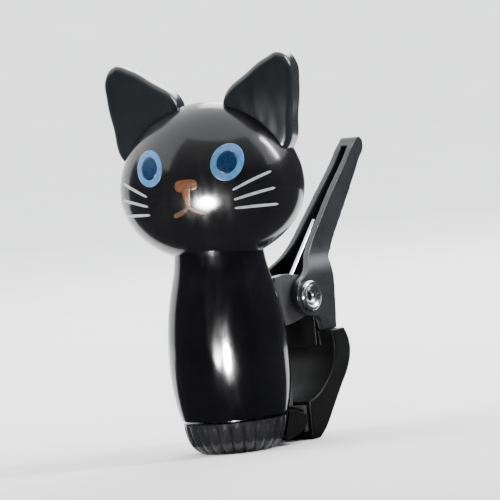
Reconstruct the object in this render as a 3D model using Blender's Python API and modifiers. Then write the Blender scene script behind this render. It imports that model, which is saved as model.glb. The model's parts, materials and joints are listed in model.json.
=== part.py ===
"""Bag clip with a cat figurine as its front jaw.

The cat faces -Y and stands on the flat underside of its foot, whose centre is the origin.
The sprung lever leans back towards +Y, and it turns about an X axis behind the cat's back.
"""

import math
import operator

import bmesh
import bpy
from mathutils import Matrix, Vector

MM = 0.001
GAP = 0.3 * MM

# Figurine
HEAD_CENTRE = Vector((0, 0, 37.8)) * MM
HEAD_HALF_WIDTH = 13.6 * MM
HEAD_HALF_DEPTH = 10.8 * MM
HEAD_RISE = 12.6 * MM
HEAD_DROP = 10.6 * MM
HEAD_WALL = 2.0 * MM
HEAD_TURN = math.radians(16.5)
EAR_THICK = 4.4 * MM
BODY_FLAT_Y = 7.4 * MM
SKIRT_FLUTES = 24
FLUTE_DEPTH = 0.35 * MM
PEG_RADIUS = 2.5 * MM

# Printed face, in mm from the head's centre
PRINT_THICK = 0.2 * MM
RING_LIFT = 0.4 * MM
IRIS_LIFT = 0.9 * MM
EYE_ACROSS = 5.9
EYE_HEIGHT = 4.0
EYE_RING_HALF = (2.3, 2.7)
IRIS_HALF = (1.3, 1.5)
NOSE_HEIGHT = 1.1
NOSE_HALF = (1.6, 0.85)
STEM_WIDTH = 0.7
MOUTH_WIDTH = 0.6
WHISKER_WIDTH = 0.35
WHISKER_ROOT = 6.6
WHISKER_TIP = 11.5
WHISKER_HEIGHTS = ((0.0, 2.1), (-1.4, -0.25), (-2.6, -2.7))

# Clip
PIVOT_Y = 14.6 * MM
PIVOT_Z = 20.5 * MM
SPINE_FRONT_Y = BODY_FLAT_Y + GAP
SPINE_REAR_Y = 8.9 * MM
SPINE_HALF_WIDTH = 4.0 * MM
LUG_INNER_X = 2.1 * MM
LUG_OUTER_X = 3.1 * MM
LEVER_WALL = 0.9 * MM
JAW_HALF_WIDTH = 6.0 * MM
RIVET_RADIUS = 1.2 * MM
RIVET_HEAD_RADIUS = 2.3 * MM
RIVET_HEAD_THICK = 0.6 * MM
CHEEK_OUTER_X = 4.5 * MM
BORE_RADIUS = RIVET_RADIUS + GAP
COIL_TURNS = 4
COIL_PITCH = 0.78 * MM
COIL_RADIUS = 1.98 * MM
WIRE_RADIUS = 0.32 * MM
LEG_START = math.radians(131)
LEG_LENGTH = 12.4 * MM
LEG_END_X = 0.45 * MM
SCREW_HEIGHTS = (9.0 * MM, 14.0 * MM)

parts = bpy.data.collections.new("bag_clip")
cutters = bpy.data.collections.new("cutters")
materials = {}


def clear_scene():
    for obj in list(bpy.data.objects):
        bpy.data.objects.remove(obj, do_unlink=True)
    bpy.context.scene.collection.children.link(parts)
    bpy.context.scene.collection.children.link(cutters)
    cutters.hide_render = True


def material(name, colour, roughness, metallic=0.0):
    if name not in materials:
        made = bpy.data.materials.new(name)
        made.use_nodes = True
        shader = made.node_tree.nodes["Principled BSDF"]
        shader.inputs["Base Color"].default_value = (*colour, 1)
        shader.inputs["Roughness"].default_value = roughness
        shader.inputs["Metallic"].default_value = metallic
        materials[name] = made
    return materials[name]


def gloss_black():
    return material("gloss_black", (0.012, 0.012, 0.016), 0.12)


def matte_black():
    return material("matte_black", (0.02, 0.02, 0.02), 0.6)


def satin_grey():
    return material("satin_grey", (0.06, 0.06, 0.07), 0.35)


def steel():
    return material("bright_steel", (0.75, 0.75, 0.77), 0.2, 1.0)


def keep(obj, name, finish):
    """Names an object as a part and gives it its material."""
    obj.name = name
    obj.data.materials.clear()
    obj.data.materials.append(finish)
    parts.objects.link(obj)
    obj.data.shade_smooth()
    obj.data.set_sharp_from_angle(angle=math.radians(40))
    return obj


def as_cutter(obj):
    cutters.objects.link(obj)
    obj.hide_render = True
    obj.display_type = "WIRE"
    return obj


def mesh_object(name, build):
    """A mesh object whose bmesh the given function fills."""
    mesh = bpy.data.meshes.new(name)
    shape = bmesh.new()
    build(shape)
    bmesh.ops.recalc_face_normals(shape, faces=shape.faces)
    shape.to_mesh(mesh)
    shape.free()
    return bpy.data.objects.new(name, mesh)


def applied(obj):
    """Makes an object's modifiers part of its mesh."""
    linked = bool(obj.users_collection)
    if not linked:
        bpy.context.scene.collection.objects.link(obj)
    bpy.context.view_layer.update()
    graph = bpy.context.evaluated_depsgraph_get()
    mesh = bpy.data.meshes.new_from_object(obj.evaluated_get(graph))
    obj.modifiers.clear()
    obj.data = mesh
    if not linked:
        bpy.context.scene.collection.objects.unlink(obj)
    return obj


def turned(name, profile, steps=40):
    """A closed solid of revolution about Z, from (radius, height) points in mm, top to bottom."""

    def build(shape):
        ring = [shape.verts.new((r * MM, 0, z * MM)) for r, z in profile]
        for pair in zip(ring, ring[1:]):
            shape.edges.new(pair)

    obj = mesh_object(name, build)
    screw = obj.modifiers.new("screw", "SCREW")
    screw.steps = steps
    screw.render_steps = steps
    screw.use_merge_vertices = True
    screw.merge_threshold = 0.01 * MM
    return applied(obj)


def cylinder(name, radius, start, end, segments=24):
    """A cylinder between two points."""
    start, end = Vector(start), Vector(end)
    along = end - start

    def build(shape):
        bmesh.ops.create_cone(
            shape, cap_ends=True, segments=segments,
            radius1=radius, radius2=radius, depth=along.length,
        )
        turn = along.to_track_quat("Z", "Y").to_matrix().to_4x4()
        bmesh.ops.transform(
            shape, matrix=Matrix.Translation((start + end) / 2) @ turn, verts=shape.verts
        )

    return mesh_object(name, build)


def box(name, low, high):
    def build(shape):
        bmesh.ops.create_cube(shape, size=1)
        for vert in shape.verts:
            vert.co = Vector(
                (low[k] + (vert.co[k] + 0.5) * (high[k] - low[k]) for k in range(3))
            )

    return mesh_object(name, build)


def head_ball(name, grow=0.0, segments=36, rings=20):
    """The head's ball, or one that much larger: taller above its widest level than below it."""

    def build(shape):
        bmesh.ops.create_uvsphere(shape, u_segments=segments, v_segments=rings, radius=1)
        for vert in shape.verts:
            tall = HEAD_RISE if vert.co.z > 0 else HEAD_DROP
            radii = Vector((HEAD_HALF_WIDTH + grow, HEAD_HALF_DEPTH + grow, tall + grow))
            vert.co = HEAD_CENTRE + Vector(map(operator.mul, vert.co, radii))

    return mesh_object(name, build)


def prism(name, outline, start, end, plane="YZ"):
    """An outline in mm, smoothed by a curve, extruded between two places along the third axis.

    Each outline point is (a, b) for a corner, or (a, b, True) for a point on a smooth stretch.
    """
    curve = bpy.data.curves.new(name, "CURVE")
    curve.dimensions = "2D"
    curve.fill_mode = "BOTH"
    curve.extrude = (end - start) / 2
    curve.resolution_u = 4
    spline = curve.splines.new("BEZIER")
    spline.bezier_points.add(len(outline) - 1)
    for knot, point in zip(spline.bezier_points, outline):
        knot.co = (point[0] * MM, point[1] * MM, 0)
        kind = "AUTO" if len(point) > 2 else "VECTOR"
        knot.handle_left_type = kind
        knot.handle_right_type = kind
    spline.use_cyclic_u = True
    source = bpy.data.objects.new(name + "_outline", curve)
    bpy.context.scene.collection.objects.link(source)
    bpy.context.view_layer.update()
    graph = bpy.context.evaluated_depsgraph_get()
    mesh = bpy.data.meshes.new_from_object(source.evaluated_get(graph))
    bpy.data.objects.remove(source)
    shape = bmesh.new()
    shape.from_mesh(mesh)
    bmesh.ops.remove_doubles(shape, verts=shape.verts, dist=1e-6)
    middle = (start + end) / 2
    if plane == "YZ":
        place = Matrix(((0, 0, 1, middle), (1, 0, 0, 0), (0, 1, 0, 0), (0, 0, 0, 1)))
    else:
        place = Matrix(((1, 0, 0, 0), (0, 0, -1, middle), (0, 1, 0, 0), (0, 0, 0, 1)))
    bmesh.ops.transform(shape, matrix=place, verts=shape.verts)
    bmesh.ops.recalc_face_normals(shape, faces=shape.faces)
    shape.to_mesh(mesh)
    shape.free()
    return bpy.data.objects.new(name, mesh)


def combine(obj, other, operation):
    """Applies a Boolean with another object straight away."""
    if not other.users_collection:
        as_cutter(other)
    step = obj.modifiers.new(operation.lower(), "BOOLEAN")
    step.operation = operation
    step.solver = "EXACT"
    step.object = other
    applied(obj)
    bpy.data.objects.remove(other)
    return obj


def join(obj, other):
    return combine(obj, other, "UNION")


def cut(obj, other):
    return combine(obj, other, "DIFFERENCE")


def common(obj, other):
    return combine(obj, other, "INTERSECT")


def bevel(obj, width, segments=2):
    """Rounds the sharp edges of a mesh in place."""
    shape = bmesh.new()
    shape.from_mesh(obj.data)
    sharp = [e for e in shape.edges if e.is_manifold and e.calc_face_angle() > 0.8]
    bmesh.ops.bevel(
        shape, geom=sharp, offset=width, segments=segments, affect="EDGES", profile=0.5,
        clamp_overlap=True,
    )
    shape.to_mesh(obj.data)
    shape.free()
    return obj


def turn_head(obj):
    """Turns a head piece to one side, about the figurine's own upright axis."""
    obj.data.transform(Matrix.Rotation(HEAD_TURN, 4, "Z"))
    return obj


EAR_OUTLINE = (
    (3.0, 47.0),
    (3.6, 50.7),
    (7.6, 54.2),
    (10.5, 56.0, True),
    (12.7, 56.6, True),
    (14.2, 55.0, True),
    (14.3, 52.0, True),
    (13.8, 48.0),
    (12.6, 43.0),
    (9.0, 41.0),
)


def ear(side):
    outline = [(side * p[0], *p[1:]) for p in EAR_OUTLINE]
    return prism("ear", outline, -EAR_THICK / 2, EAR_THICK / 2, plane="XZ")


def head_half(name, rear):
    """Half of the hollow head with its half of both ears, split on the plane of the ears."""
    shell = head_ball("head")
    for side in (-1, 1):
        join(shell, ear(side))
    cut(shell, head_ball("hollow", -HEAD_WALL, 24, 12))
    below = HEAD_CENTRE.z - HEAD_DROP - MM
    hole = cylinder("hole", PEG_RADIUS + GAP, (0, 0, below), (0, 0, HEAD_CENTRE.z - 4 * MM))
    cut(shell, hole)
    reach = 30 * MM
    low_y, high_y = (-reach, GAP / 2) if rear else (-GAP / 2, reach)
    cut(shell, box("other_half", (-reach, low_y, 0), (reach, high_y, 80 * MM)))
    keep(turn_head(shell), name, gloss_black())


def head_point(across, height, lift):
    """A point over the face, from its place across and up from the head's centre in mm."""
    x, z = across * MM, height * MM
    a, b = HEAD_HALF_WIDTH, HEAD_HALF_DEPTH
    c = HEAD_RISE if z > 0 else HEAD_DROP
    y = -b * math.sqrt(1 - (x / a) ** 2 - (z / c) ** 2)
    normal = Vector((x / a**2, y / b**2, z / c**2)).normalized()
    return HEAD_CENTRE + Vector((x, y, z)) + normal * lift, normal


def printed_disc(name, across, height, half_size, lift, finish):
    """An oval printed layer, flat, lying just off the face."""
    place, normal = head_point(across, height, lift)

    def build(shape):
        bmesh.ops.create_cone(
            shape, cap_ends=True, segments=28, radius1=1, radius2=1, depth=1
        )
        for vert in shape.verts:
            vert.co = Vector(
                (vert.co.x * half_size[0] * MM, vert.co.y * half_size[1] * MM,
                 vert.co.z * PRINT_THICK)
            )
        turn = normal.to_track_quat("Z", "Y").to_matrix().to_4x4()
        bmesh.ops.transform(shape, matrix=Matrix.Translation(place) @ turn, verts=shape.verts)

    keep(turn_head(mesh_object(name, build)), name, finish)


def printed_line(name, knots, width, finish):
    """A printed stroke over the face, through (across, height) points in mm."""
    curve = bpy.data.curves.new(name, "CURVE")
    curve.dimensions = "3D"
    curve.bevel_depth = width * MM / 2
    curve.bevel_resolution = 1
    curve.use_fill_caps = True
    spline = curve.splines.new("POLY")
    spline.points.add(len(knots) - 1)
    for point, (across, height) in zip(spline.points, knots):
        point.co = (*head_point(across, height, GAP + width * MM / 2)[0], 1)
    source = bpy.data.objects.new(name + "_path", curve)
    bpy.context.scene.collection.objects.link(source)
    bpy.context.view_layer.update()
    graph = bpy.context.evaluated_depsgraph_get()
    mesh = bpy.data.meshes.new_from_object(source.evaluated_get(graph))
    bpy.data.objects.remove(source)
    welded = bmesh.new()
    welded.from_mesh(mesh)
    bmesh.ops.remove_doubles(welded, verts=welded.verts, dist=1e-6)
    welded.to_mesh(mesh)
    welded.free()
    keep(turn_head(bpy.data.objects.new(name, mesh)), name, finish)



def face():
    pale_blue = material("print_pale_blue", (0.24, 0.5, 0.75), 0.35)
    deep_blue = material("print_deep_blue", (0.01, 0.09, 0.21), 0.3)
    tan = material("print_tan", (0.45, 0.14, 0.05), 0.4)
    pale_grey = material("print_pale_grey", (0.55, 0.55, 0.55), 0.4)
    for side, label in ((-1, "right"), (1, "left")):
        eye = side * EYE_ACROSS
        printed_disc("eye_ring_" + label, eye, EYE_HEIGHT, EYE_RING_HALF, RING_LIFT, pale_blue)
        printed_disc("iris_" + label, eye, EYE_HEIGHT, IRIS_HALF, IRIS_LIFT, deep_blue)
        for level, (root, tip) in zip(("upper", "middle", "lower"), WHISKER_HEIGHTS):
            steps = [k / 4 for k in range(5)]
            knots = [
                (side * (WHISKER_ROOT + t * (WHISKER_TIP - WHISKER_ROOT)),
                 root + t * (tip - root))
                for t in steps
            ]
            printed_line(f"whisker_{level}_{label}", knots, WHISKER_WIDTH, pale_grey)
    printed_disc("nose", 0, NOSE_HEIGHT, NOSE_HALF, RING_LIFT, tan)
    printed_line("mouth_stem", ((0, -0.2), (0, -1.0), (0, -1.8)), STEM_WIDTH, tan)
    for side, label in ((-1, "right"), (1, "left")):
        arm = [(side * x, z) for x, z in ((0.9, -2.35), (1.5, -2.7), (2.4, -3.1))]
        printed_line("mouth_" + label, arm, MOUTH_WIDTH, tan)


BODY_PROFILE = (
    (6.4, 30.0),
    (6.5, 28.2),
    (6.8, 26.2),
    (7.6, 23.0),
    (8.2, 20.0),
    (8.65, 16.5),
    (8.75, 13.0),
    (8.65, 9.8),
    (8.2, 7.0),
    (7.65, 4.8),
)
BODY_HOLLOW = (
    (5.7, 4.8),
    (5.7, 20.0),
    (4.8, 22.5),
    (2.8, 23.6),
    (2.8, 30.0),
)


def body():
    outer = list(BODY_PROFILE) + list(BODY_HOLLOW) + [BODY_PROFILE[0]]
    shell = turned("body", outer, 44)
    wide = 20 * MM
    cut(shell, box("flat", (-wide, BODY_FLAT_Y, 0), (wide, wide, 2 * wide)))
    cut(shell, turn_head(head_ball("seat", GAP)))
    for height in SCREW_HEIGHTS:
        hole = cylinder("hole", 1.0 * MM, (0, 4 * MM, height), (0, 10 * MM, height), 16)
        cut(shell, hole)
    keep(shell, "body_shell", gloss_black())
    peg = cylinder("peg", PEG_RADIUS, (0, 0, 24 * MM), (0, 0, 31.5 * MM))
    keep(bevel(peg, 0.3 * MM, 1), "neck_peg", matte_black())


SKIRT_PROFILE = (
    (0, 7.0),
    (5.3, 7.0),
    (5.3, 4.5),
    (7.5, 4.5),
    (7.35, 3.4),
    (6.9, 1.8),
    (6.1, 0.5),
    (5.4, 0.0),
    (0, 0.0),
)


def skirt():
    """The fluted foot, with a spigot that plugs the hollow body."""
    foot = turned("skirt", SKIRT_PROFILE, SKIRT_FLUTES * 4)
    for vert in foot.data.vertices:
        radius = math.hypot(vert.co.x, vert.co.y)
        if radius > 5.6 * MM:
            angle = math.atan2(vert.co.y, vert.co.x)
            groove = 0.5 - 0.5 * math.cos(SKIRT_FLUTES * angle)
            vert.co.xy *= 1 - FLUTE_DEPTH * groove / radius
    keep(foot, "base_skirt", gloss_black())


def lip():
    """The wedge-shaped lip that the rear jaw closes on."""
    outline = ((3.4, 5.3), (7.0, 4.5), (8.9, 3.7), (8.9, 2.7), (6.6, 1.2), (3.4, 0.5))
    bar = prism("lip", outline, -6.5 * MM, 6.5 * MM)
    bevel(bar, 0.25 * MM, 1)
    around = turned("around", ((0, 8), (7.85, 8), (7.85, 4.5), (7.2, 1.8), (6.4, -1), (0, -1)), 48)
    cut(bar, around)
    keep(bar, "front_lip", matte_black())


LUG_OUTLINE = (
    (8.0, 24.0),
    (12.4, 24.0, True),
    (16.2, 22.8, True),
    (17.2, 20.5, True),
    (16.2, 18.2, True),
    (13.0, 17.0, True),
    (8.0, 16.6),
)


def bracket():
    """The spine on the cat's back and the two lugs that carry the pivot."""
    frame = box(
        "spine",
        (-SPINE_HALF_WIDTH, SPINE_FRONT_Y, 5.2 * MM),
        (SPINE_HALF_WIDTH, SPINE_REAR_Y, 24.0 * MM),
    )
    for side in (-1, 1):
        ends = sorted((side * LUG_INNER_X, side * LUG_OUTER_X))
        join(frame, prism("lug", LUG_OUTLINE, *ends))
    across = 8 * MM
    bore = cylinder("bore", BORE_RADIUS, (-across, PIVOT_Y, PIVOT_Z), (across, PIVOT_Y, PIVOT_Z))
    cut(frame, bore)
    for height in SCREW_HEIGHTS:
        cut(frame, cylinder("hole", 1.0 * MM, (0, 5 * MM, height), (0, 11 * MM, height), 16))
    keep(frame, "clip_bracket", satin_grey())
    for count, height in enumerate(SCREW_HEIGHTS):
        seat = SPINE_REAR_Y + GAP
        screw = cylinder("screw", 0.7 * MM, (0, 6.0 * MM, height), (0, seat + 0.2 * MM, height), 16)
        head = cylinder("head", 1.4 * MM, (0, seat, height), (0, seat + 0.7 * MM, height), 20)
        join(screw, bevel(head, 0.15 * MM, 1))
        keep(screw, ("bracket_screw_lower", "bracket_screw_upper")[count], steel())


LEVER_SIDE = (
    (16.6, 25.0, True),
    (19.2, 27.2, True),
    (23.2, 31.1, True),
    (27.2, 35.0, True),
    (31.4, 38.9, True),
    (33.9, 41.4, True),
    (35.5, 42.3, True),
    (36.4, 41.3, True),
    (34.7, 38.6, True),
    (31.6, 34.6, True),
    (28.0, 30.6, True),
    (24.2, 26.6, True),
    (22.3, 25.0, True),
    (21.3, 21.5, True),
    (21.0, 18.5, True),
    (20.8, 15.6),
    (17.6, 15.6),
    (16.4, 17.3, True),
    (14.6, 17.6, True),
    (12.4, 18.7, True),
    (11.7, 20.5, True),
    (12.5, 22.5, True),
    (14.6, 23.6, True),
)
LEVER_HOLLOW = (
    (9.0, 24.0),
    (14.0, 24.0),
    (22.3, 33.0),
    (31.8, 42.0),
    (34.1, 40.4, True),
    (30.6, 35.0, True),
    (27.1, 31.0, True),
    (23.3, 27.0, True),
    (21.3, 25.0, True),
    (20.3, 21.5, True),
    (20.0, 18.5, True),
    (19.9, 14.0),
    (9.0, 14.0),
)
LEVER_FRONT = ((4.5, 14.0), (4.5, 22.6), (4.0, 24.2), (2.5, 26.4), (1.8, 31.0), (1.4, 43.5))


def front_outline(narrower):
    """The lever seen from the front: its half width at each height, mirrored."""
    right = [(half - narrower, height) for half, height in LEVER_FRONT]
    left = [(-half, height) for half, height in reversed(right)]
    return right + left


def lever():
    """The tail-like handle: a channel, open to the front, that widens round the pivot."""
    wide = 8 * MM
    deep = 50 * MM
    handle = prism("lever", LEVER_SIDE, -wide, wide)
    common(handle, prism("front", front_outline(0), 0, deep, plane="XZ"))
    wall = LEVER_WALL / MM
    hollow = prism("hollow", LEVER_HOLLOW, -wide, wide)
    common(hollow, prism("inside", front_outline(wall), 0, deep, plane="XZ"))
    cut(handle, hollow)
    bore = cylinder("bore", BORE_RADIUS, (-wide, PIVOT_Y, PIVOT_Z), (wide, PIVOT_Y, PIVOT_Z))
    cut(handle, bore)
    keep(handle, "lever", satin_grey())


JAW_SIDE = (
    (20.8, 15.2),
    (21.7, 13.4, True),
    (21.8, 11.6, True),
    (20.9, 9.4, True),
    (18.9, 7.0, True),
    (16.4, 4.0, True),
    (14.0, 1.2, True),
    (12.4, 0.0),
    (10.4, 0.0),
    (10.4, 5.6),
    (12.0, 6.0, True),
    (14.8, 7.7, True),
    (17.1, 10.2, True),
    (17.9, 12.6, True),
    (17.6, 15.2),
)


def rear_jaw():
    jaw = prism("jaw", JAW_SIDE, -JAW_HALF_WIDTH, JAW_HALF_WIDTH)
    keep(bevel(jaw, 0.35 * MM, 1), "rear_jaw", matte_black())
    pad = box("pad", (-5.5 * MM, 9.2 * MM, 1.2 * MM), (5.5 * MM, 10.1 * MM, 5.0 * MM))
    rubber = material("soft_rubber", (0.03, 0.03, 0.03), 0.85)
    keep(bevel(pad, 0.2 * MM, 1), "rear_pad", rubber)


def rivet():
    """The tubular pivot rivet, with a rolled head at each end."""
    end = CHEEK_OUTER_X + GAP
    tip = end + RIVET_HEAD_THICK
    pin = cylinder("rivet", RIVET_RADIUS, (-tip, PIVOT_Y, PIVOT_Z), (tip, PIVOT_Y, PIVOT_Z), 28)
    for side in (-1, 1):
        head = cylinder(
            "head", RIVET_HEAD_RADIUS,
            (side * end, PIVOT_Y, PIVOT_Z), (side * tip, PIVOT_Y, PIVOT_Z), 28,
        )
        join(pin, bevel(head, 0.25 * MM, 1))
    reach = 8 * MM
    bore = cylinder("bore", 0.65 * MM, (-reach, PIVOT_Y, PIVOT_Z), (reach, PIVOT_Y, PIVOT_Z), 16)
    cut(pin, bore)
    keep(pin, "pivot_rivet", steel())


def spring():
    """Coil round the rivet, one leg on the spine and the other up inside the lever."""
    steps = 14
    half_length = COIL_TURNS * COIL_PITCH / 2
    points = []
    for k in range(COIL_TURNS * steps + 1):
        turn = k / steps
        angle = LEG_START - math.tau * turn
        points.append(
            Vector((
                COIL_PITCH * turn - half_length,
                PIVOT_Y + COIL_RADIUS * math.cos(angle),
                PIVOT_Z + COIL_RADIUS * math.sin(angle),
            ))
        )
    along = Vector((0, math.sin(LEG_START), -math.cos(LEG_START)))
    inwards = Vector((LEG_END_X - half_length, 0, 0))
    lever_leg = [
        points[-1] + along * LEG_LENGTH * t + inwards * t for t in (0.12, 0.35, 0.65, 1.0)
    ]
    lever_leg.append(lever_leg[-1] + Vector((0, 0.8, 0.8)) * MM)
    elbow = points[0] - along * 3.6 * MM
    heel = Vector((elbow.x, SPINE_REAR_Y + GAP + 1.5 * WIRE_RADIUS, elbow.z - 1.2 * MM))
    foot = heel - Vector((0, 0, 2.6 * MM))
    curve = bpy.data.curves.new("torsion_spring", "CURVE")
    curve.dimensions = "3D"
    curve.bevel_depth = WIRE_RADIUS
    curve.bevel_resolution = 1
    curve.use_fill_caps = True
    route = [foot, heel, elbow] + points + lever_leg
    spline = curve.splines.new("POLY")
    spline.points.add(len(route) - 1)
    for point, place in zip(spline.points, route):
        point.co = (*place, 1)
    wire = bpy.data.objects.new("torsion_spring", curve)
    wire.data.materials.append(steel())
    parts.objects.link(wire)


def hang_on_pivot(names):
    """Gives the moving pieces a shared parent on the hinge's axis, leaving them in place."""
    pivot = bpy.data.objects.new("lever_pivot", None)
    pivot.location = (0, PIVOT_Y, PIVOT_Z)
    parts.objects.link(pivot)
    for name in names:
        piece = bpy.data.objects[name]
        piece.parent = pivot
        piece.matrix_parent_inverse = Matrix.Translation(-pivot.location)


def main():
    clear_scene()
    head_half("head_front_shell", rear=False)
    head_half("head_rear_shell", rear=True)
    face()
    body()
    skirt()
    lip()
    bracket()
    lever()
    rear_jaw()
    rivet()
    spring()
    hang_on_pivot(("lever", "rear_jaw", "rear_pad"))


main()
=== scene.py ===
"""Looks for the bag clip: a glossy cat figurine with a sprung, tail-like lever behind it."""

import json
import math

import bmesh
import bpy
from mathutils import Matrix, Vector


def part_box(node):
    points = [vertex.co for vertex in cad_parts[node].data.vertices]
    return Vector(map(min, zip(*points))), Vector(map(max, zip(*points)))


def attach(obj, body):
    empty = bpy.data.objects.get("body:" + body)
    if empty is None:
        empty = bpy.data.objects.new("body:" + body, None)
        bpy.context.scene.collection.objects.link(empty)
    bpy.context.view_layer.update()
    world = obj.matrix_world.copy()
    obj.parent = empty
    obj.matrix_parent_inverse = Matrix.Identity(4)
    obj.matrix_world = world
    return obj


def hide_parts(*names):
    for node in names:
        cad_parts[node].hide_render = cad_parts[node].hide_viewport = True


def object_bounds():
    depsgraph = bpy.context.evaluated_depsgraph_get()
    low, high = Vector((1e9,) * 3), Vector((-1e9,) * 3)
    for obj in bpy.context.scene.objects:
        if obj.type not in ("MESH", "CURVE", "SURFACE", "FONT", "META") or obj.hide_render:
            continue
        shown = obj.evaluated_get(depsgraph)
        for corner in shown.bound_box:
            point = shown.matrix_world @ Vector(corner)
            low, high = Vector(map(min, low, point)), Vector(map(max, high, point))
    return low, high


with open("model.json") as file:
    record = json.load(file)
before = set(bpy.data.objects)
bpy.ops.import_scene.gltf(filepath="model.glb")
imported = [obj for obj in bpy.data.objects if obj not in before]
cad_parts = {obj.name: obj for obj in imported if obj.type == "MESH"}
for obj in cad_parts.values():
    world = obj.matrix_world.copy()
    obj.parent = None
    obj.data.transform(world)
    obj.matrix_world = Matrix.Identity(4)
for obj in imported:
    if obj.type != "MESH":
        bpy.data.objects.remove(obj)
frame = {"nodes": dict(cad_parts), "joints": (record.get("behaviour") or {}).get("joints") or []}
cad_low, cad_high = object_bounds()

# Lengths given as a number times MM are metres; outlines, profiles and knots are in mm.
MM = 0.001
ROOT = "root"
MOVING = "lever_arm"
SIDES = ((-1, "right"), (1, "left"))
PIVOT = Vector(frame["joints"][0]["pos_m"])

# Meshing
SMOOTH_ANGLE = math.radians(40)
MERGE = 1e-7
OUTLINE_MERGE = 1e-6
OUTLINE_STEPS = 10
BEVEL_STEPS = 5
OVAL_RINGS = 6
OVAL_POINTS = 72
STROKE_LANES = 4
STROKE_STEPS = 10
NARROWEST = 0.02

# Head
HEAD_CENTRE = Vector((0, 0, 37.8)) * MM
HEAD_HALF_WIDTH = 13.6 * MM
HEAD_HALF_DEPTH = 10.8 * MM
HEAD_RISE = 12.6 * MM
HEAD_DROP = 10.6 * MM
HEAD_TURN = math.radians(16.5)
EAR_THICK = 4.4 * MM
EAR_ROUND = 1.0 * MM

# Face, in mm across and up from the head's centre
EYE_PLACE = (5.9, 4.0)
EYE_RING_HALF = (2.22, 2.62)
IRIS_HALF = (1.38, 1.62)
EYE_TILT = math.radians(9)
WHISKERS = (
    ("upper", (6.5, 0.0), (11.3, 2.1)),
    ("middle", (6.5, -1.4), (11.6, -0.3)),
    ("lower", (6.4, -2.6), (11.6, -2.7)),
)
WHISKER_ARCH = 0.05
WHISKER_WIDTHS = (0.3, 0.4, 0.34)
WHISKER_TAPER = 0.06
NOSE_KNOTS = ((-1.75, 1.25), (-0.8, 1.2), (0.8, 1.2), (1.75, 1.25))
NOSE_WIDTHS = (1.3, 1.7, 1.7, 1.3)
NOSE_TAPER = 0.2
STEM_KNOTS = ((0, 1.0), (0, 0.0), (0, -1.0), (0, -2.1))
STEM_WIDTHS = (1.7, 1.3, 0.95, 0.85)
ARM_KNOTS = ((0, -1.85), (0.9, -2.5), (2.5, -3.1))
ARM_WIDTH = 0.7
ARM_TAPER = 0.16
PRINT_LIFT = 0.03 * MM
PRINT_THICK = 2.5 * PRINT_LIFT

# Body and foot
BODY_FLAT_Y = 7.4 * MM
FLUTES = 24
FLUTE_DEPTH = 0.455 * MM
FLUTE_SHARPNESS = 0.7
FLUTE_TOP = 4.35
FLUTE_ROOT = 5.2 * MM
LIP_HALF_WIDTH = 6.5 * MM

# Clip
BORE_RADIUS = 1.5 * MM
SPINE_HALF_WIDTH = 4.0 * MM
SPINE_FRONT_Y = 7.38 * MM
SPINE_REAR_Y = 8.9 * MM
SPINE_FOOT_Z = 5.2 * MM
SPINE_TOP_Z = 24.0 * MM
LUG_FACES_X = (2.1 * MM, 3.1 * MM)
SCREWS = ("bracket_screw_lower", "bracket_screw_upper")
SCREW_HOLE_RADIUS = 1.0 * MM
SCREW_HEAD_HEIGHT = 0.72
RECESS_TURN = 0.5
LEVER_WALL = 0.9
JAW_HALF_WIDTH = 6.0 * MM
TONGUE_LOW = Vector((-3.3, 17.2, 13.0)) * MM
TONGUE_HIGH = Vector((3.3, 19.9, 17.4)) * MM
PAD_GROOVES = 4
GROOVE_RADIUS = 0.2 * MM
RIVET_HALF_LENGTH = 5.4
RIM_RADIUS = 0.42
RIM_CENTRE = 1.86
RIM_STEPS = 8

# Spring
WIRE_RADIUS = 0.32 * MM
WIRE_SIDES = 5
COIL_RADIUS = 1.98 * MM
COIL_TURNS = 4
COIL_PITCH = 0.78 * MM
COIL_STEPS = 40
LEG_START = math.radians(131)
LEG_LENGTH = 12.4 * MM
LEG_END_X = 0.45 * MM
LEG_STATIONS = (0.0, 0.12, 0.35, 0.65, 1.0)
LEG_HOOK = Vector((0, 0.8, 0.8)) * MM
LEG_WRAP = 6
LEAD_LENGTH = 0.6 * MM
ELBOW_LENGTH = 3.6 * MM
HEEL_Y = SPINE_REAR_Y + 0.3 * MM + 1.5 * WIRE_RADIUS
HEEL_DROP = 1.2 * MM
TOE_DROP = 2.6 * MM

# View, in degrees and metres
VIEW_AZIMUTH, VIEW_ELEVATION, VIEW_ROLL = 36.5, 3.0, 5.7
VIEW_LENS = 400.0
VIEW_DISTANCE = 0.80
VIEW_HEIGHT = 28.5 * MM
VIEW_SHIFT = 4.5 * MM

# Studio
SKY_COLOUR = (0.97, 0.98, 1.0, 1)
SKY_STRENGTH = 2.7
FLOOR_HUB = 0.001
FLOOR_FLAT = 1.2
SWEEP_RADIUS = 1.5
SWEEP_ANGLE = math.radians(80)
SWEEP_STEPS = 24
FLOOR_DROP = 0.08 * MM
CARD_DROP = 0.04 * MM
CARD_RADIUS = 0.26
CARD_MOTTLE = 0.01
GLOW_FOOT = 0.12
HIGHLIGHT_REACH = 0.06


# ---------------------------------------------------------------- materials

def new_material(name, roughness, metallic=0.0, coat=0.0, ior=1.5, specular=0.5):
    made = bpy.data.materials.new(name)
    made.use_nodes = True
    inputs = made.node_tree.nodes["Principled BSDF"].inputs
    inputs["Roughness"].default_value = roughness
    inputs["Metallic"].default_value = metallic
    inputs["Coat Weight"].default_value = coat
    inputs["IOR"].default_value = ior
    inputs["Specular IOR Level"].default_value = specular
    return made


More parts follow.
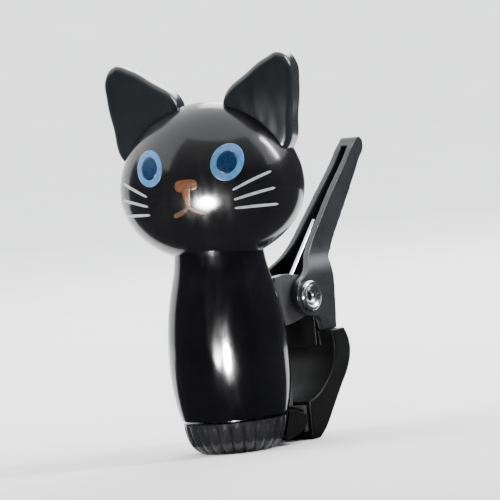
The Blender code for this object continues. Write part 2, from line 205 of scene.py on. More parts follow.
def noise(material, scale, detail=3.0, stretch=(1, 1, 1)):
    """Noise in the object's own metres, optionally stretched along an axis."""
    tree = material.node_tree
    coordinates = tree.nodes.new("ShaderNodeTexCoord")
    mapping = tree.nodes.new("ShaderNodeMapping")
    mapping.inputs["Scale"].default_value = stretch
    texture = tree.nodes.new("ShaderNodeTexNoise")
    texture.inputs["Scale"].default_value = scale
    texture.inputs["Detail"].default_value = detail
    tree.links.new(coordinates.outputs["Object"], mapping.inputs["Vector"])
    tree.links.new(mapping.outputs["Vector"], texture.inputs["Vector"])
    return texture.outputs["Fac"]


def ramp(material, factor, low, high, span=(0.3, 0.7)):
    """Maps a factor to a range of numbers, or to a blend between two colours."""
    tree = material.node_tree
    if isinstance(low, (int, float)):
        node = tree.nodes.new("ShaderNodeMapRange")
        node.inputs["From Min"].default_value, node.inputs["From Max"].default_value = span
        node.inputs["To Min"].default_value = low
        node.inputs["To Max"].default_value = high
        tree.links.new(factor, node.inputs["Value"])
        return node.outputs["Result"]
    node = tree.nodes.new("ShaderNodeValToRGB")
    for element, colour, position in zip(node.color_ramp.elements, (low, high), span):
        element.color = (*colour, 1)
        element.position = position
    tree.links.new(factor, node.inputs["Fac"])
    return node.outputs["Color"]


def feed(material, socket, source):
    shader = material.node_tree.nodes["Principled BSDF"]
    material.node_tree.links.new(source, shader.inputs[socket])


def bump(material, height, strength, distance):
    tree = material.node_tree
    node = tree.nodes.new("ShaderNodeBump")
    node.inputs["Strength"].default_value = strength
    node.inputs["Distance"].default_value = distance
    tree.links.new(height, node.inputs["Height"])
    feed(material, "Normal", node.outputs["Normal"])


def lacquer(name, dark, light, roughness):
    """Glossy black moulding with a faint ripple and hairline differences in its polish."""
    made = new_material(name, roughness, coat=0.15, ior=1.42)
    feed(made, "Base Color", ramp(made, noise(made, 90, 4), dark, light))
    rub = noise(made, 900, 5, (1, 1, 0.25))
    feed(made, "Roughness", ramp(made, rub, roughness * 0.75, roughness * 1.35))
    bump(made, noise(made, 260, 2), 0.12, 0.03 * MM)
    return made


def moulding(name, dark, light, roughness, grain_scale=5200, grain=0.3, specular=0.5):
    """Satin or matte plastic with a fine spark-eroded grain, and convex edges painted paler as a
    painted edge highlight.
    """
    made = new_material(name, roughness, specular=specular)
    tree = made.node_tree
    flow = ramp(made, noise(made, 160, 4), dark, light)
    # Convex edges, found by pointiness, are painted paler: a painted edge highlight.
    geometry = tree.nodes.new("ShaderNodeNewGeometry")
    edge = ramp(made, geometry.outputs["Pointiness"], 0.0, 0.35, (0.56, 0.68))
    edge_highlight_colour = (min(1, c * 2.6 + 0.02) for c in light)
    mix = tree.nodes.new("ShaderNodeMix")
    mix.data_type = "RGBA"
    mix.inputs["B"].default_value = (*edge_highlight_colour, 1)
    tree.links.new(edge, mix.inputs["Factor"])
    tree.links.new(flow, mix.inputs["A"])
    feed(made, "Base Color", mix.outputs["Result"])
    patch = noise(made, 420, 3)
    feed(made, "Roughness", ramp(made, patch, roughness * 0.85, roughness * 1.15))
    bump(made, noise(made, grain_scale, 2), grain, 0.02 * MM)
    return made


def plated(name, stretch=(0.2, 1, 1)):
    """Bright plated steel, drawn along one axis."""
    made = new_material(name, 0.16, metallic=1.0)
    tone = ramp(made, noise(made, 700, 3), (0.56, 0.57, 0.6), (0.82, 0.83, 0.86))
    feed(made, "Base Color", tone)
    drawn = noise(made, 6000, 3, stretch)
    feed(made, "Roughness", ramp(made, drawn, 0.1, 0.28))
    bump(made, drawn, 0.08, 0.01 * MM)
    return made


def ink(name, dark, light):
    """A thin printed layer: a slightly uneven film with a soft sheen."""
    roughness = 0.3
    made = new_material(name, roughness, specular=0.15)
    feed(made, "Base Color", ramp(made, noise(made, 1500, 4), dark, light))
    feed(made, "Roughness", ramp(made, noise(made, 3000, 2), roughness * 0.8, roughness * 1.3))
    bump(made, noise(made, 3500, 2), 0.12, 0.01 * MM)
    return made


HEAD_BLACK = lacquer("head_lacquer", (0.005, 0.005, 0.006), (0.009, 0.009, 0.01), 0.16)
# The skirt's copy of the gloss black is painted paler than the head's: a painted sheen.
SKIRT_BLACK_PAINTED_SHEEN = lacquer("skirt_lacquer_painted_sheen", (0.01, 0.01, 0.012), (0.026, 0.026, 0.029), 0.24)
# The body's copy of the figurine's gloss black is painted darker than the head's: a painted dark
# reflection.
BODY_BLACK_PAINTED_DARK_REFLECTION = lacquer("body_lacquer_painted_dark_reflection", (0.0018, 0.0018, 0.0026), (0.004, 0.004, 0.0055), 0.13)
SATIN = moulding("satin_moulding", (0.013, 0.0135, 0.016), (0.022, 0.0225, 0.026), 0.3,
                 specular=0.45)
# The bracket's copy of the satin grey is painted paler than the lever's: a painted sheen on the
# light-catching lugs.
PLATE_PAINTED_SHEEN = moulding("plate_moulding_painted_sheen", (0.03, 0.03, 0.031), (0.05, 0.05, 0.051), 0.35)
# The ears' copy of the gloss black is painted paler and bluer than the head's: a painted
# reflection on the ear fronts.
EAR_BLACK_PAINTED_SHEEN = lacquer("ear_lacquer_painted_sheen", (0.012, 0.014, 0.016), (0.019, 0.022, 0.024), 0.2)
MATTE = moulding("matte_moulding", (0.002, 0.002, 0.0023), (0.0042, 0.0042, 0.0046), 0.46,
                 grain=0.4, specular=0.16)
RUBBER = moulding("rubber_pad", (0.008, 0.008, 0.008), (0.014, 0.014, 0.013), 0.8,
                  grain_scale=3000, grain=0.6)
STEEL = plated("plated_steel")
WIRE = plated("spring_wire", (1, 1, 1))
RING_BLUE = ink("ink_pale_blue", (0.06, 0.18, 0.38), (0.1, 0.26, 0.49))
IRIS_BLUE = ink("ink_deep_blue", (0.0, 0.014, 0.05), (0.001, 0.03, 0.085))
NOSE_TAN = ink("ink_nose", (0.13, 0.042, 0.012), (0.19, 0.062, 0.02))
MOUTH_TAN = ink("ink_mouth", (0.085, 0.036, 0.012), (0.13, 0.058, 0.022))
WHISKER_GREY = ink("ink_whisker", (0.32, 0.33, 0.34), (0.48, 0.49, 0.5))


# ---------------------------------------------------------------- shapes

def paint(mesh, material):
    mesh.materials.clear()
    mesh.materials.append(material)


def shade(mesh, smooth=SMOOTH_ANGLE):
    """Smooth shading, broken at edges sharper than an angle; None leaves every edge smooth."""
    mesh.shade_smooth()
    if smooth:
        mesh.set_sharp_from_angle(angle=smooth)


def finish_mesh(name, shape, material, smooth=SMOOTH_ANGLE):
    """Turns a bmesh into a linked, smooth-shaded object."""
    bmesh.ops.recalc_face_normals(shape, faces=shape.faces)
    mesh = bpy.data.meshes.new(name)
    shape.to_mesh(mesh)
    shape.free()
    obj = bpy.data.objects.new(name, mesh)
    bpy.context.scene.collection.objects.link(obj)
    paint(mesh, material)
    shade(mesh, smooth)
    return obj


def evaluated_mesh(obj):
    bpy.context.view_layer.update()
    graph = bpy.context.evaluated_depsgraph_get()
    return bpy.data.meshes.new_from_object(obj.evaluated_get(graph))


def curve_mesh(curve):
    """Meshes a curve and hands the mesh back as a bmesh."""
    source = bpy.data.objects.new(curve.name + "_path", curve)
    bpy.context.scene.collection.objects.link(source)
    mesh = evaluated_mesh(source)
    bpy.data.objects.remove(source)
    shape = bmesh.new()
    shape.from_mesh(mesh)
    return shape


def apply_modifiers(obj):
    """Makes what the modifiers give the object's own mesh."""
    mesh = evaluated_mesh(obj)
    obj.modifiers.clear()
    obj.data = mesh


def turned(name, profile, material, steps, shaping=None, smooth=SMOOTH_ANGLE):
    """A closed solid of revolution about Z from (radius, height) points in mm."""
    shape = bmesh.new()
    ring = [shape.verts.new((r * MM, 0, z * MM)) for r, z in profile]
    edges = [shape.edges.new(pair) for pair in zip(ring, ring[1:])]
    bmesh.ops.spin(shape, geom=ring + edges, axis=(0, 0, 1), cent=(0, 0, 0),
                   angle=math.tau, steps=steps, use_merge=True)
    bmesh.ops.remove_doubles(shape, verts=shape.verts, dist=MERGE)
    if shaping:
        for vert in shape.verts:
            shaping(vert)
    return finish_mesh(name, shape, material, smooth)


def curved(points, samples):
    """Points on a smooth curve through the given ones."""
    knots = [Vector(p) for p in points]
    knots = [2 * knots[0] - knots[1], *knots, 2 * knots[-1] - knots[-2]]
    found = []
    for a, b, c, d in zip(knots, knots[1:], knots[2:], knots[3:]):
        for k in range(samples):
            t = k / samples
            found.append(
                0.5 * (2 * b + (c - a) * t + (2 * a - 5 * b + 4 * c - d) * t**2
                       + (3 * b - a - 3 * c + d) * t**3)
            )
    return found + [knots[-2]]


def prism(name, outline, start, end, plane="YZ", rounding=0.0):
    """An outline in mm, extruded along the third axis; points marked True are smooth."""
    curve = bpy.data.curves.new(name, "CURVE")
    curve.dimensions = "2D"
    curve.fill_mode = "BOTH"
    curve.extrude = (end - start) / 2 - rounding
    curve.bevel_depth = rounding
    curve.bevel_resolution = BEVEL_STEPS
    curve.offset = -rounding
    curve.resolution_u = OUTLINE_STEPS
    spline = curve.splines.new("BEZIER")
    spline.bezier_points.add(len(outline) - 1)
    for knot, point in zip(spline.bezier_points, outline):
        knot.co = (point[0] * MM, point[1] * MM, 0)
        handle = "AUTO" if len(point) > 2 else "VECTOR"
        knot.handle_left_type = knot.handle_right_type = handle
    spline.use_cyclic_u = True
    middle = (start + end) / 2
    stand = {
        "YZ": Matrix(((0, 0, 1, middle), (1, 0, 0, 0), (0, 1, 0, 0), (0, 0, 0, 1))),
        "XZ": Matrix(((1, 0, 0, 0), (0, 0, -1, middle), (0, 1, 0, 0), (0, 0, 0, 1))),
    }[plane]
    shape = curve_mesh(curve)
    bmesh.ops.remove_doubles(shape, verts=shape.verts, dist=OUTLINE_MERGE)
    bmesh.ops.transform(shape, matrix=stand, verts=shape.verts)
    return finish_mesh(name, shape, MATTE)


def combine(obj, other, operation):
    """Adds or cuts another object, which is used up."""
    step = obj.modifiers.new(operation, "BOOLEAN")
    step.operation = operation
    step.solver = "EXACT"
    step.object = other
    apply_modifiers(obj)
    bpy.data.objects.remove(other)


def rod(name, radius, start, end, segments=48):
    """A straight round bar, used only to cut holes."""
    start, end = Vector(start), Vector(end)
    along = end - start
    shape = bmesh.new()
    bmesh.ops.create_cone(shape, cap_ends=True, segments=segments,
                          radius1=radius, radius2=radius, depth=along.length)
    turn = along.to_track_quat("Z", "Y").to_matrix().to_4x4()
    bmesh.ops.transform(shape, matrix=Matrix.Translation((start + end) / 2) @ turn,
                        verts=shape.verts)
    return finish_mesh(name, shape, MATTE)


def block(name, low, high):
    shape = bmesh.new()
    bmesh.ops.create_cube(shape, size=1)
    for vert in shape.verts:
        vert.co = Vector([low[k] + (vert.co[k] + 0.5) * (high[k] - low[k]) for k in range(3)])
    return finish_mesh(name, shape, MATTE)


def softened(obj, material, voxel, passes):
    """Rounds every edge the way a moulded piece is rounded: a fine remesh, then smoothing."""
    remesh = obj.modifiers.new("remesh", "REMESH")
    remesh.mode = "VOXEL"
    remesh.voxel_size = voxel
    easing = obj.modifiers.new("smooth", "SMOOTH")
    easing.factor = 0.5
    easing.iterations = passes
    apply_modifiers(obj)
    paint(obj.data, material)
    shade(obj.data, None)
    return obj


def wire(name, route):
    """The spring's round wire through the given points, made a mesh with closed ends."""
    curve = bpy.data.curves.new(name, "CURVE")
    curve.dimensions = "3D"
    curve.bevel_depth = WIRE_RADIUS
    curve.bevel_resolution = WIRE_SIDES
    curve.use_fill_caps = True
    spline = curve.splines.new("POLY")
    spline.points.add(len(route) - 1)
    for point, spot in zip(spline.points, route):
        point.co = (*spot, 1)
    shape = curve_mesh(curve)
    bmesh.ops.remove_doubles(shape, verts=shape.verts, dist=MERGE)
    return finish_mesh(name, shape, WIRE)


def place(obj, body, slot, *nodes):
    """Ties a piece to its body and hides the CAD nodes that it stands for; the slot is not used.
    """
    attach(obj, body)
    if nodes:
        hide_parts(*nodes)


# ---------------------------------------------------------------- head and face

def turn_head(obj):
    obj.data.transform(Matrix.Rotation(HEAD_TURN, 4, "Z"))
    return obj


def head_surface(across, height, lift=0.0):
    """A point on the front of the head, across and up from its centre in mm."""
    x, z = across * MM, height * MM
    tall = HEAD_RISE if z > 0 else HEAD_DROP
    y = -HEAD_HALF_DEPTH * math.sqrt(max(0.0, 1 - (x / HEAD_HALF_WIDTH) ** 2 - (z / tall) ** 2))
    normal = Vector((x / HEAD_HALF_WIDTH**2, y / HEAD_HALF_DEPTH**2, z / tall**2)).normalized()
    return HEAD_CENTRE + Vector((x, y, z)) + normal * lift


def make_head():
    shape = bmesh.new()
    bmesh.ops.create_uvsphere(shape, u_segments=144, v_segments=96, radius=1)
    for vert in shape.verts:
        x, y, z = vert.co
        tall = HEAD_RISE if z > 0 else HEAD_DROP
        vert.co = HEAD_CENTRE + Vector((x * HEAD_HALF_WIDTH, y * HEAD_HALF_DEPTH, z * tall))
    head = turn_head(finish_mesh("head", shape, HEAD_BLACK, None))
    place(head, ROOT, "gloss_black", "head_front_shell", "head_rear_shell")


EAR_OUTLINE = (
    (4.0, 46.0),
    (3.6, 50.7, True),
    (7.6, 54.2, True),
    (10.5, 56.0, True),
    (12.7, 56.6, True),
    (14.2, 55.0, True),
    (14.35, 52.0, True),
    (13.8, 48.0, True),
    (12.4, 42.6, True),
    (9.0, 41.5),
)


def make_ear(side, label):
    outline = [(side * p[0], *p[1:]) for p in EAR_OUTLINE]
    ear = prism("ear_" + label, outline, -EAR_THICK / 2, EAR_THICK / 2, "XZ", EAR_ROUND)
    turn_head(ear)
    paint(ear.data, EAR_BLACK_PAINTED_SHEEN)
    place(ear, ROOT, "gloss_black")


def printed(name, rows, material, closed, slot, *nodes):
    """A thin print that follows the head, from rows of (across, height) points in mm."""
    shape = bmesh.new()
    grid = [[shape.verts.new(head_surface(*p, PRINT_LIFT)) for p in row] for row in rows]
    count = len(grid[0])
    for row, after in zip(grid, grid[1:]):
        for k in range(count if closed else count - 1):
            following = (k + 1) % count
            shape.faces.new((row[k], row[following], after[following], after[k]))
    bmesh.ops.remove_doubles(shape, verts=shape.verts, dist=MERGE)
    obj = finish_mesh(name, shape, material, None)
    if sum(face.normal.y for face in obj.data.polygons) > 0:
        obj.data.flip_normals()
    film = obj.modifiers.new("film", "SOLIDIFY")
    film.thickness = PRINT_THICK
    film.offset = -1
    apply_modifiers(obj)
    place(turn_head(obj), ROOT, slot, *nodes)


def oval(centre, half, tilt, inner=0.0):
    """Rows of an oval, or of an oval ring, leaning by a tilt."""
    rows = []
    for ring in range(OVAL_RINGS + 1):
        scale = max(inner + (1 - inner) * ring / OVAL_RINGS, 1e-5)
        row = []
        for k in range(OVAL_POINTS):
            angle = math.tau * k / OVAL_POINTS
            x, z = half[0] * scale * math.cos(angle), half[1] * scale * math.sin(angle)
            row.append((
                centre[0] + x * math.cos(tilt) + z * math.sin(tilt),
                centre[1] - x * math.sin(tilt) + z * math.cos(tilt),
            ))
        rows.append(row)
    return rows


def stroke(knots, width, taper):
    """Rows of a brush stroke with rounded ends; width is one number or one for each knot."""
    widths = width if isinstance(width, tuple) else (width,) * len(knots)
    line = curved([(x, z, w) for (x, z), w in zip(knots, widths)], STROKE_STEPS)
    total = len(line) - 1
    rows = [[] for _ in range(STROKE_LANES + 1)]
    for k, point in enumerate(line):
        ahead, behind = line[min(k + 1, total)], line[max(k - 1, 0)]
        direction = (ahead - behind).to_2d().normalized()
        normal = Vector((-direction.y, direction.x))
        end = min(1.0, min(k, total - k) / total / taper) if taper else 1.0
        swell = math.sqrt(max(0.0, 1 - (1 - end) ** 2))
        for j in range(STROKE_LANES + 1):
            offset = (j / STROKE_LANES - 0.5) * point.z * max(swell, NARROWEST)
            rows[j].append(tuple(point.to_2d() + normal * offset))
    return rows


def make_face():
    inner = IRIS_HALF[0] / EYE_RING_HALF[0]
    for side, label in SIDES:
        centre = (side * EYE_PLACE[0], EYE_PLACE[1])
        tilt = side * EYE_TILT
        ring = oval(centre, EYE_RING_HALF, tilt, inner)
        printed("eye_ring_print_" + label, ring, RING_BLUE, True, "print_pale_blue",
                "eye_ring_" + label)
        iris = oval(centre, IRIS_HALF, tilt)
        printed("iris_print_" + label, iris, IRIS_BLUE, True, "print_deep_blue",
                "iris_" + label)
        for level, root, tip in WHISKERS:
            middle = ((root[0] + tip[0]) / 2, (root[1] + tip[1]) / 2 + WHISKER_ARCH)
            knots = [(side * x, z) for x, z in (root, middle, tip)]
            rows = stroke(knots, WHISKER_WIDTHS, WHISKER_TAPER)
            printed(f"whisker_print_{level}_{label}", rows, WHISKER_GREY, False,
                    "print_pale_grey", f"whisker_{level}_{label}")
    nose = stroke(NOSE_KNOTS, NOSE_WIDTHS, NOSE_TAPER)
    printed("nose_print", nose, NOSE_TAN, False, "print_tan", "nose")
    stem = stroke(STEM_KNOTS, STEM_WIDTHS, 0)
    printed("mouth_stem_print", stem, NOSE_TAN, False, "print_tan", "mouth_stem")
    for side, label in SIDES:
        arm = stroke([(side * x, z) for x, z in ARM_KNOTS], ARM_WIDTH, ARM_TAPER)
        printed("mouth_print_" + label, arm, MOUTH_TAN, False, "print_tan", "mouth_" + label)


# ---------------------------------------------------------------- body and foot

BODY_KNOTS = (
    (6.4, 30.0),
    (6.5, 28.2),
    (6.8, 26.2),
    (7.6, 23.0),
    (8.2, 20.0),
    (8.6, 16.5),
    (8.72, 13.0),
    (8.6, 9.8),
    (8.2, 7.0),
    (7.75, 5.1),
)
BODY_HEM = ((7.6, 4.86), (7.3, 4.8), (0, 4.8))
SOCKET = ((0, 40), (5.6, 40), (5.6, 20.0), (0, 20.0))
SKIRT_PLUG = ((0, 7.0), (5.3, 7.0), (5.3, 4.5), (7.35, 4.5))
SKIRT_KNOTS = ((7.5, 4.4), (7.4, 3.4), (6.95, 1.8), (6.3, 0.7), (5.5, 0.05))
LIP_OUTLINE = ((3.4, 5.3), (7.0, 4.5), (8.9, 3.7), (8.9, 2.7), (6.6, 1.2), (3.4, 0.5))
LIP_CLEARANCE = ((0, 8), (7.85, 8), (7.85, 4.5), (7.2, 1.8), (6.4, -1), (0, -1))


def side_of(knots, samples):
    """The (radius, height) points of a smooth side through the given ones."""
    return [(p.x, p.y) for p in curved([(*k, 0) for k in knots], samples)]


def make_body():
    profile = [(0, 30.0), *side_of(BODY_KNOTS, 8), *BODY_HEM]
    body = turned("body", profile, BODY_BLACK_PAINTED_DARK_REFLECTION, 128)
    wide = 20 * MM
    combine(body, block("flat", (-wide, BODY_FLAT_Y, 0), (wide, wide, 2 * wide)), "DIFFERENCE")
    combine(body, turned("socket", SOCKET, BODY_BLACK_PAINTED_DARK_REFLECTION, 32), "DIFFERENCE")
    shade(body.data)
    place(body, ROOT, "gloss_black", "body_shell")


def flute(vert):
    """Presses a groove into the skirt's side, fading out at its upper and lower rim."""
    radius = math.hypot(vert.co.x, vert.co.y)
    height = vert.co.z / MM
    if radius < FLUTE_ROOT:
        return
    angle = math.atan2(vert.co.y, vert.co.x)
    ridge = abs(math.sin(FLUTES * angle / 2)) ** FLUTE_SHARPNESS
    fade_up = min(1.0, max(0.0, (FLUTE_TOP - height) / 0.5))
    fade_down = min(1.0, height / 0.4 + 0.2)
    vert.co.xy *= 1 - FLUTE_DEPTH * (1 - ridge) * fade_up * fade_down / radius


def make_skirt():
    profile = [*SKIRT_PLUG, *side_of(SKIRT_KNOTS, 5), (5.3, 0.0), (0, 0.0)]
    skirt = turned("fluted_foot", profile, SKIRT_BLACK_PAINTED_SHEEN, FLUTES * 14, flute)
    place(skirt, ROOT, "gloss_black", "base_skirt")


def make_lip():
    bar = prism("lip", LIP_OUTLINE, -LIP_HALF_WIDTH, LIP_HALF_WIDTH)
    combine(bar, turned("around", LIP_CLEARANCE, MATTE, 64), "DIFFERENCE")
    place(softened(bar, MATTE, 0.1 * MM, 4), ROOT, "matte_black", "front_lip")


# ---------------------------------------------------------------- clip

LUG_OUTLINE = (
    (8.0, 24.0),
    (12.4, 24.0, True),
    (16.2, 22.8, True),
    (17.2, 20.5, True),
    (16.2, 18.2, True),
    (13.0, 17.0, True),
    (8.0, 16.6),
)


def bore(obj, reach):
    """Cuts the rivet's hole through a piece."""
    across = Vector((reach, 0, 0))
    combine(obj, rod("bore", BORE_RADIUS, PIVOT - across, PIVOT + across), "DIFFERENCE")


def make_bracket():
    spine = block("bracket", (-SPINE_HALF_WIDTH, SPINE_FRONT_Y, SPINE_FOOT_Z),
                  (SPINE_HALF_WIDTH, SPINE_REAR_Y, SPINE_TOP_Z))
    for side in (-1, 1):
        ends = sorted(side * x for x in LUG_FACES_X)
        combine(spine, prism("lug", LUG_OUTLINE, *ends), "UNION")
    bore(spine, 8 * MM)
    for node in SCREWS:
        low, high = (Vector(corner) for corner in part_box(node))
        middle = (low + high) / 2
        reach = Vector((0, 6 * MM, 0))
        hole = rod("hole", SCREW_HOLE_RADIUS, middle - reach, middle + reach)
        combine(spine, hole, "DIFFERENCE")
    place(softened(spine, PLATE_PAINTED_SHEEN, 0.1 * MM, 3), ROOT, "satin_grey", "clip_bracket")


SCREW_PROFILE = (
    (0, SCREW_HEAD_HEIGHT),
    (0.5, 0.7),
    (1.0, 0.58),
    (1.28, 0.38),
    (1.38, 0.15),
    (1.36, 0.0),
    (0.7, 0.0),
    (0.7, -2.9),
    (0.45, -3.2),
    (0, -3.2),
)
RECESS_LOW = Vector((-0.75, -0.14, 0.4)) * MM
RECESS_HIGH = Vector((0.75, 0.14, 2)) * MM


def make_screws():
    """Pan heads with a cross recess, on short shanks."""
    for node in SCREWS:
        low, high = (Vector(corner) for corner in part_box(node))
        height = (low.z + high.z) / 2
        screw = turned(node + "_detailed", SCREW_PROFILE, STEEL, 40)
        for angle in (0, math.pi / 2):
            arm = block("arm", RECESS_LOW, RECESS_HIGH)
            arm.data.transform(Matrix.Rotation(angle + RECESS_TURN, 4, "Z"))
            combine(screw, arm, "DIFFERENCE")
        screw.data.transform(Matrix.Rotation(-math.pi / 2, 4, "X"))
        seat = high.y - SCREW_HEAD_HEIGHT * MM
        screw.data.transform(Matrix.Translation((0, seat, height)))
        shade(screw.data)
        place(screw, ROOT, "bright_steel", node)


LEVER_SIDE = (
    (16.6, 25.0, True),
    (19.2, 27.2, True),
    (23.2, 31.1, True),
    (27.2, 35.0, True),
    (31.4, 38.9, True),
    (33.9, 41.4, True),
    (35.5, 42.3, True),
    (36.4, 41.3, True),
    (34.7, 38.6, True),
    (31.6, 34.6, True),
    (28.0, 30.6, True),
    (24.2, 26.6, True),
    (22.3, 25.0, True),
    (21.3, 21.5, True),
    (21.0, 18.5, True),
    (20.9, 15.2),
    (17.5, 15.2),
    (16.4, 17.3, True),
    (14.6, 17.6, True),
    (12.4, 18.7, True),
    (11.7, 20.5, True),
    (12.5, 22.5, True),
    (14.6, 23.6, True),
)
LEVER_HOLLOW = (
    (9.0, 24.0),
    (14.0, 24.0),
    (22.3, 33.0),
    (31.8, 42.0),
    (34.1, 40.4, True),
    (30.6, 35.0, True),
    (27.1, 31.0, True),
    (23.3, 27.0, True),
    (21.3, 25.0, True),
    (20.3, 21.5, True),
    (20.0, 18.5, True),
    (19.9, 14.0),
    (9.0, 14.0),
)
LEVER_FRONT = ((4.5, 14.0), (4.5, 22.6), (4.0, 24.2), (2.5, 26.4), (1.8, 31.0), (1.4, 43.5))


def front_outline(narrower):
    """The lever's outline from the front, drawn in by a margin at both sides."""
    right = [(half - narrower, height, True) for half, height in LEVER_FRONT]
    left = [(-half, height, True) for half, height, _ in reversed(right)]
    return [right[0][:2], *right[1:-1], right[-1][:2], left[0][:2], *left[1:-1], left[-1][:2]]


def make_lever():
    """The tail-like channel that widens round the pivot, with its edges rounded."""
    wide, deep = 8 * MM, 50 * MM
    handle = prism("handle", LEVER_SIDE, -wide, wide)
    combine(handle, prism("front", front_outline(0), 0, deep, "XZ"), "INTERSECT")
    hollow = prism("hollow", LEVER_HOLLOW, -wide, wide)
    combine(hollow, prism("inside", front_outline(LEVER_WALL), 0, deep, "XZ"), "INTERSECT")
    combine(handle, hollow, "DIFFERENCE")
    bore(handle, wide)
    place(softened(handle, SATIN, 0.11 * MM, 5), MOVING, "satin_grey", "lever")


JAW_SIDE = (
    (20.8, 15.2),
    (21.7, 13.4, True),
    (21.8, 11.6, True),
    (20.9, 9.4, True),
    (18.9, 7.0, True),
    (16.4, 4.0, True),
    (14.0, 1.2, True),
    (12.4, 0.0),
    (10.4, 0.0),
    (10.4, 5.6),
    (12.0, 6.0, True),
    (14.8, 7.7, True),
    (17.1, 10.2, True),
    (17.9, 12.6, True),
    (17.6, 15.2),
)


def make_jaw():
    """The rounded jaw with its tongue up into the lever, and its grooved rubber pad."""
    jaw = prism("jaw", JAW_SIDE, -JAW_HALF_WIDTH, JAW_HALF_WIDTH)
    combine(jaw, block("tongue", TONGUE_LOW, TONGUE_HIGH), "UNION")
    place(softened(jaw, MATTE, 0.14 * MM, 9), MOVING, "matte_black", "rear_jaw")
    low, high = (Vector(corner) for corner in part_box("rear_pad"))
    pad = block("pad", low, high)
    pitch = (high.z - low.z) / (PAD_GROOVES + 1)
    for k in range(PAD_GROOVES):
        height = low.z + pitch * (k + 1)
        start = Vector((low.x - MM, low.y, height))
        end = Vector((high.x + MM, low.y, height))
        combine(pad, rod("groove", GROOVE_RADIUS, start, end, 16), "DIFFERENCE")
    place(softened(pad, RUBBER, 0.07 * MM, 2), MOVING, "soft_rubber", "rear_pad")


def make_rivet():
    """A tube whose ends are rolled over into rounded rims round a dished centre."""
    end = RIVET_HALF_LENGTH
    profile = [(0.65, end - 0.9), (0.7, end - 0.55), (1.0, end - 0.38), (1.35, end - 0.3)]
    for k in range(RIM_STEPS + 1):
        angle = math.radians(150 - 240 * k / RIM_STEPS)
        profile.append((RIM_CENTRE + RIM_RADIUS * math.cos(angle),
                        end - RIM_RADIUS + RIM_RADIUS * math.sin(angle)))
    profile += [(1.45, end - 0.58), (1.2, end - 0.62)]
    mirrored = [(r, -z) for r, z in reversed(profile)]
    outline = profile + mirrored + [profile[0]]
    rivet = turned("rivet", outline, STEEL, 72, smooth=math.radians(60))
    rivet.data.transform(Matrix.Rotation(math.pi / 2, 4, "Y"))
    rivet.data.transform(Matrix.Translation(PIVOT))
    place(rivet, ROOT, "bright_steel", "pivot_rivet")


def make_spring():
    """The coil and its short leg stay with the cat; the long leg goes with the lever."""
    half_length = COIL_TURNS * COIL_PITCH / 2
    coil = []
    for k in range(COIL_TURNS * COIL_STEPS + 1):
        turn = k / COIL_STEPS
        angle = LEG_START - math.tau * turn
        around = Vector((0, math.cos(angle), math.sin(angle))) * COIL_RADIUS
        coil.append(PIVOT + around + Vector((COIL_PITCH * turn - half_length, 0, 0)))
    along = Vector((0, math.sin(LEG_START), -math.cos(LEG_START)))
    elbow = coil[0] - along * ELBOW_LENGTH
    heel = Vector((elbow.x, HEEL_Y, elbow.z - HEEL_DROP))
    toe = heel - Vector((0, 0, TOE_DROP))
    short_leg = curved([toe, heel, elbow, coil[0] - along * LEAD_LENGTH], 8)
    place(wire("spring_coil", short_leg + coil), ROOT, "bright_steel", "torsion_spring")
    inwards = Vector((LEG_END_X - half_length, 0, 0))
    leg = [coil[-1] + along * LEG_LENGTH * t + inwards * t for t in LEG_STATIONS]
    leg.append(leg[-1] + LEG_HOOK)
    wrap = coil[-LEG_WRAP - 1:-1]
    place(wire("spring_leg", wrap + curved(leg, 6)), MOVING, "bright_steel", "torsion_spring")


# ---------------------------------------------------------------- studio

def make_floor():
    """A wide floor that sweeps up far away, so that little of its edge shows behind the cat."""
    shape = bmesh.new()
    profile = [Vector((FLOOR_HUB, 0, 0)), Vector((FLOOR_FLAT, 0, 0))]
    for k in range(1, SWEEP_STEPS + 1):
        angle = SWEEP_ANGLE * k / SWEEP_STEPS
        profile.append(Vector((FLOOR_FLAT + SWEEP_RADIUS * math.sin(angle), 0,
                               SWEEP_RADIUS * (1 - math.cos(angle)))))
    ring = [shape.verts.new(p) for p in profile]
    edges = [shape.edges.new(pair) for pair in zip(ring, ring[1:])]
    bmesh.ops.spin(shape, geom=ring + edges, axis=(0, 0, 1), cent=(0, 0, 0), angle=math.tau,
                   steps=96, use_merge=True)
    hub = [v for v in shape.verts if v.co.to_2d().length < 2 * FLOOR_HUB]
    bmesh.ops.contextual_create(shape, geom=hub)
    pale = new_material("studio_floor", 0.7, specular=0.1)
    tone = ramp(pale, noise(pale, 30, 3), (0.84, 0.84, 0.845), (0.87, 0.87, 0.875))
    feed(pale, "Base Color", tone)
    floor = finish_mesh("studio_floor", shape, pale)
    floor.location.z = cad_low.z - FLOOR_DROP


def towards(azimuth, elevation):
    """A direction in degrees: round from the clip's front, and up."""
    a, e = math.radians(azimuth), math.radians(elevation)
    return Vector((math.sin(a) * math.cos(e), -math.cos(a) * math.cos(e), math.sin(e)))


def make_light(name, azimuth, elevation, distance, size, power, aim):
    data = bpy.data.lights.new(name, "AREA")
    data.shape = "RECTANGLE"
    data.size, data.size_y = size
    data.energy = power
    light = bpy.data.objects.new(name, data)
    bpy.context.scene.collection.objects.link(light)
    back = towards(azimuth, elevation)
    light.location = aim + back * distance
    light.rotation_mode = "QUATERNION"
    light.rotation_quaternion = (-back).to_track_quat("-Z", "Y")
    light.visible_camera = False
    return light


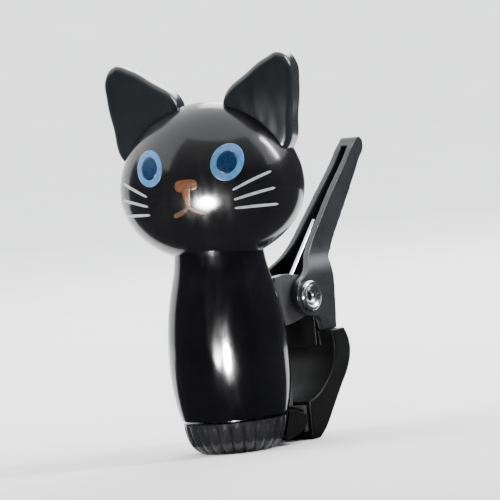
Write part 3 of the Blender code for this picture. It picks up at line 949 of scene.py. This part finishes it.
def make_card(name, rows, start, sweep, steps, grey, diffuse=False, glow=0.0):
    """A dark card round the cat, from (radius, height) rows in metres and degrees off the view.

    The camera doesn't see it and it casts no shadow. With diffuse, it also holds back soft
    light; without, it is seen only in reflections.
    """
    shape = bmesh.new()
    grid = []
    for radius, height in rows:
        row = []
        for k in range(steps + 1):
            a = math.radians(VIEW_AZIMUTH + start + sweep * k / steps)
            row.append(shape.verts.new((radius * math.sin(a), -radius * math.cos(a), height)))
        grid.append(row)
    for row, after in zip(grid, grid[1:]):
        for k in range(steps):
            shape.faces.new((row[k], row[k + 1], after[k + 1], after[k]))
    board = new_material(name, 0.9, specular=0.1)
    mottle = ramp(board, noise(board, 20, 2), (grey,) * 3, (grey + CARD_MOTTLE,) * 3)
    feed(board, "Base Color", mottle)
    if glow:
        tree = board.node_tree
        coordinates = tree.nodes.new("ShaderNodeTexCoord")
        split = tree.nodes.new("ShaderNodeSeparateXYZ")
        tree.links.new(coordinates.outputs["Object"], split.inputs["Vector"])
        rise = ramp(board, split.outputs["Z"], 0.0, glow, (GLOW_FOOT, rows[-1][1]))
        feed(board, "Emission Strength", rise)
        shader = tree.nodes["Principled BSDF"]
        shader.inputs["Emission Color"].default_value = (1, 1, 1, 1)
    card = finish_mesh(name, shape, board, None)
    card.visible_camera = False
    card.visible_diffuse = diffuse
    card.visible_shadow = False
    card.visible_transmission = False


def make_cards():
    """The dark surroundings that the gloss black reflects."""
    floor_rows = [(radius, -CARD_DROP) for radius in (0.0075, 0.05, 0.14)]
    floor_rows.append((CARD_RADIUS, 0.0))
    make_card("floor_card", floor_rows, -128, 256, 36, 0.012)
    front_rows = [(CARD_RADIUS, 0.0), (CARD_RADIUS, 0.08)]
    front_rows += [(0.25, 0.15), (0.2, 0.24), (0.15, 0.29)]
    make_card("front_card", front_rows, -60, 120, 36, 0.012, diffuse=True, glow=0.8)
    wing_rows = [(CARD_RADIUS, height) for height in (0.0, 0.07, 0.14)]
    make_card("wing_card", wing_rows, -60, -62, 12, 0.02)
    make_card("wing_card", wing_rows, 60, 100, 12, 0.02)


def make_highlight(name, azimuth, height, target, size, spread, power):
    """A small round lamp that shows only as a highlight; height and target are in mm."""
    rise = math.degrees(math.atan2((height - target) * MM, HIGHLIGHT_REACH))
    distance = HIGHLIGHT_REACH / math.cos(math.radians(rise))
    aim = Vector((0, 0, target)) * MM
    lamp = make_light(name, azimuth, rise, distance, (size, size), power, aim)
    lamp.data.shape = "ELLIPSE"
    lamp.data.spread = math.radians(spread)
    lamp.visible_diffuse = False


def make_studio():
    world = bpy.data.worlds.new("studio")
    world.use_nodes = True
    sky = world.node_tree.nodes["Background"]
    sky.inputs["Color"].default_value = SKY_COLOUR
    sky.inputs["Strength"].default_value = SKY_STRENGTH
    bpy.context.scene.world = world
    make_cards()
    middle = (cad_low + cad_high) / 2
    make_light("top_right_box", azimuth=122, elevation=38, distance=0.4, size=(0.035, 0.17),
               power=1.6, aim=middle)
    fill = make_light("left_fill", azimuth=-60, elevation=25, distance=0.5, size=(0.3, 0.3),
                      power=2.0, aim=middle)
    fill.visible_glossy = False
    make_light("rear_rim", azimuth=200, elevation=35, distance=0.5, size=(0.3, 0.3),
               power=2.0, aim=middle)
    make_highlight("body_box", azimuth=33, height=12, target=12, size=0.013, spread=24,
                   power=0.009)
    make_highlight("head_box", azimuth=17, height=19, target=35, size=0.02, spread=34,
                   power=0.026)


def make_camera():
    data = bpy.data.cameras.new("camera")
    data.lens = VIEW_LENS
    data.clip_start = 0.01
    camera = bpy.data.objects.new("camera", data)
    bpy.context.scene.collection.objects.link(camera)
    back = towards(VIEW_AZIMUTH, VIEW_ELEVATION)
    right = towards(VIEW_AZIMUTH + 90, 0)
    aim = Vector((0, 0, VIEW_HEIGHT)) + right * VIEW_SHIFT
    camera.location = aim + back * VIEW_DISTANCE
    upright = (-back).to_track_quat("-Z", "Y").to_matrix()
    roll = Matrix.Rotation(math.radians(-VIEW_ROLL), 3, "Z")
    camera.rotation_mode = "QUATERNION"
    camera.rotation_quaternion = (upright @ roll).to_quaternion()
    bpy.context.scene.camera = camera


def finish_kept_node():
    """Gives the neck peg, the one CAD node that stays visible, its own finish."""
    for slot in frame["nodes"]["neck_peg"].material_slots:
        slot.material = MATTE


make_camera()
make_head()
for ear_side, ear_label in SIDES:
    make_ear(ear_side, ear_label)
make_face()
make_body()
make_skirt()
make_lip()
make_bracket()
make_screws()
make_lever()
make_jaw()
make_rivet()
make_spring()
finish_kept_node()
make_floor()
make_studio()
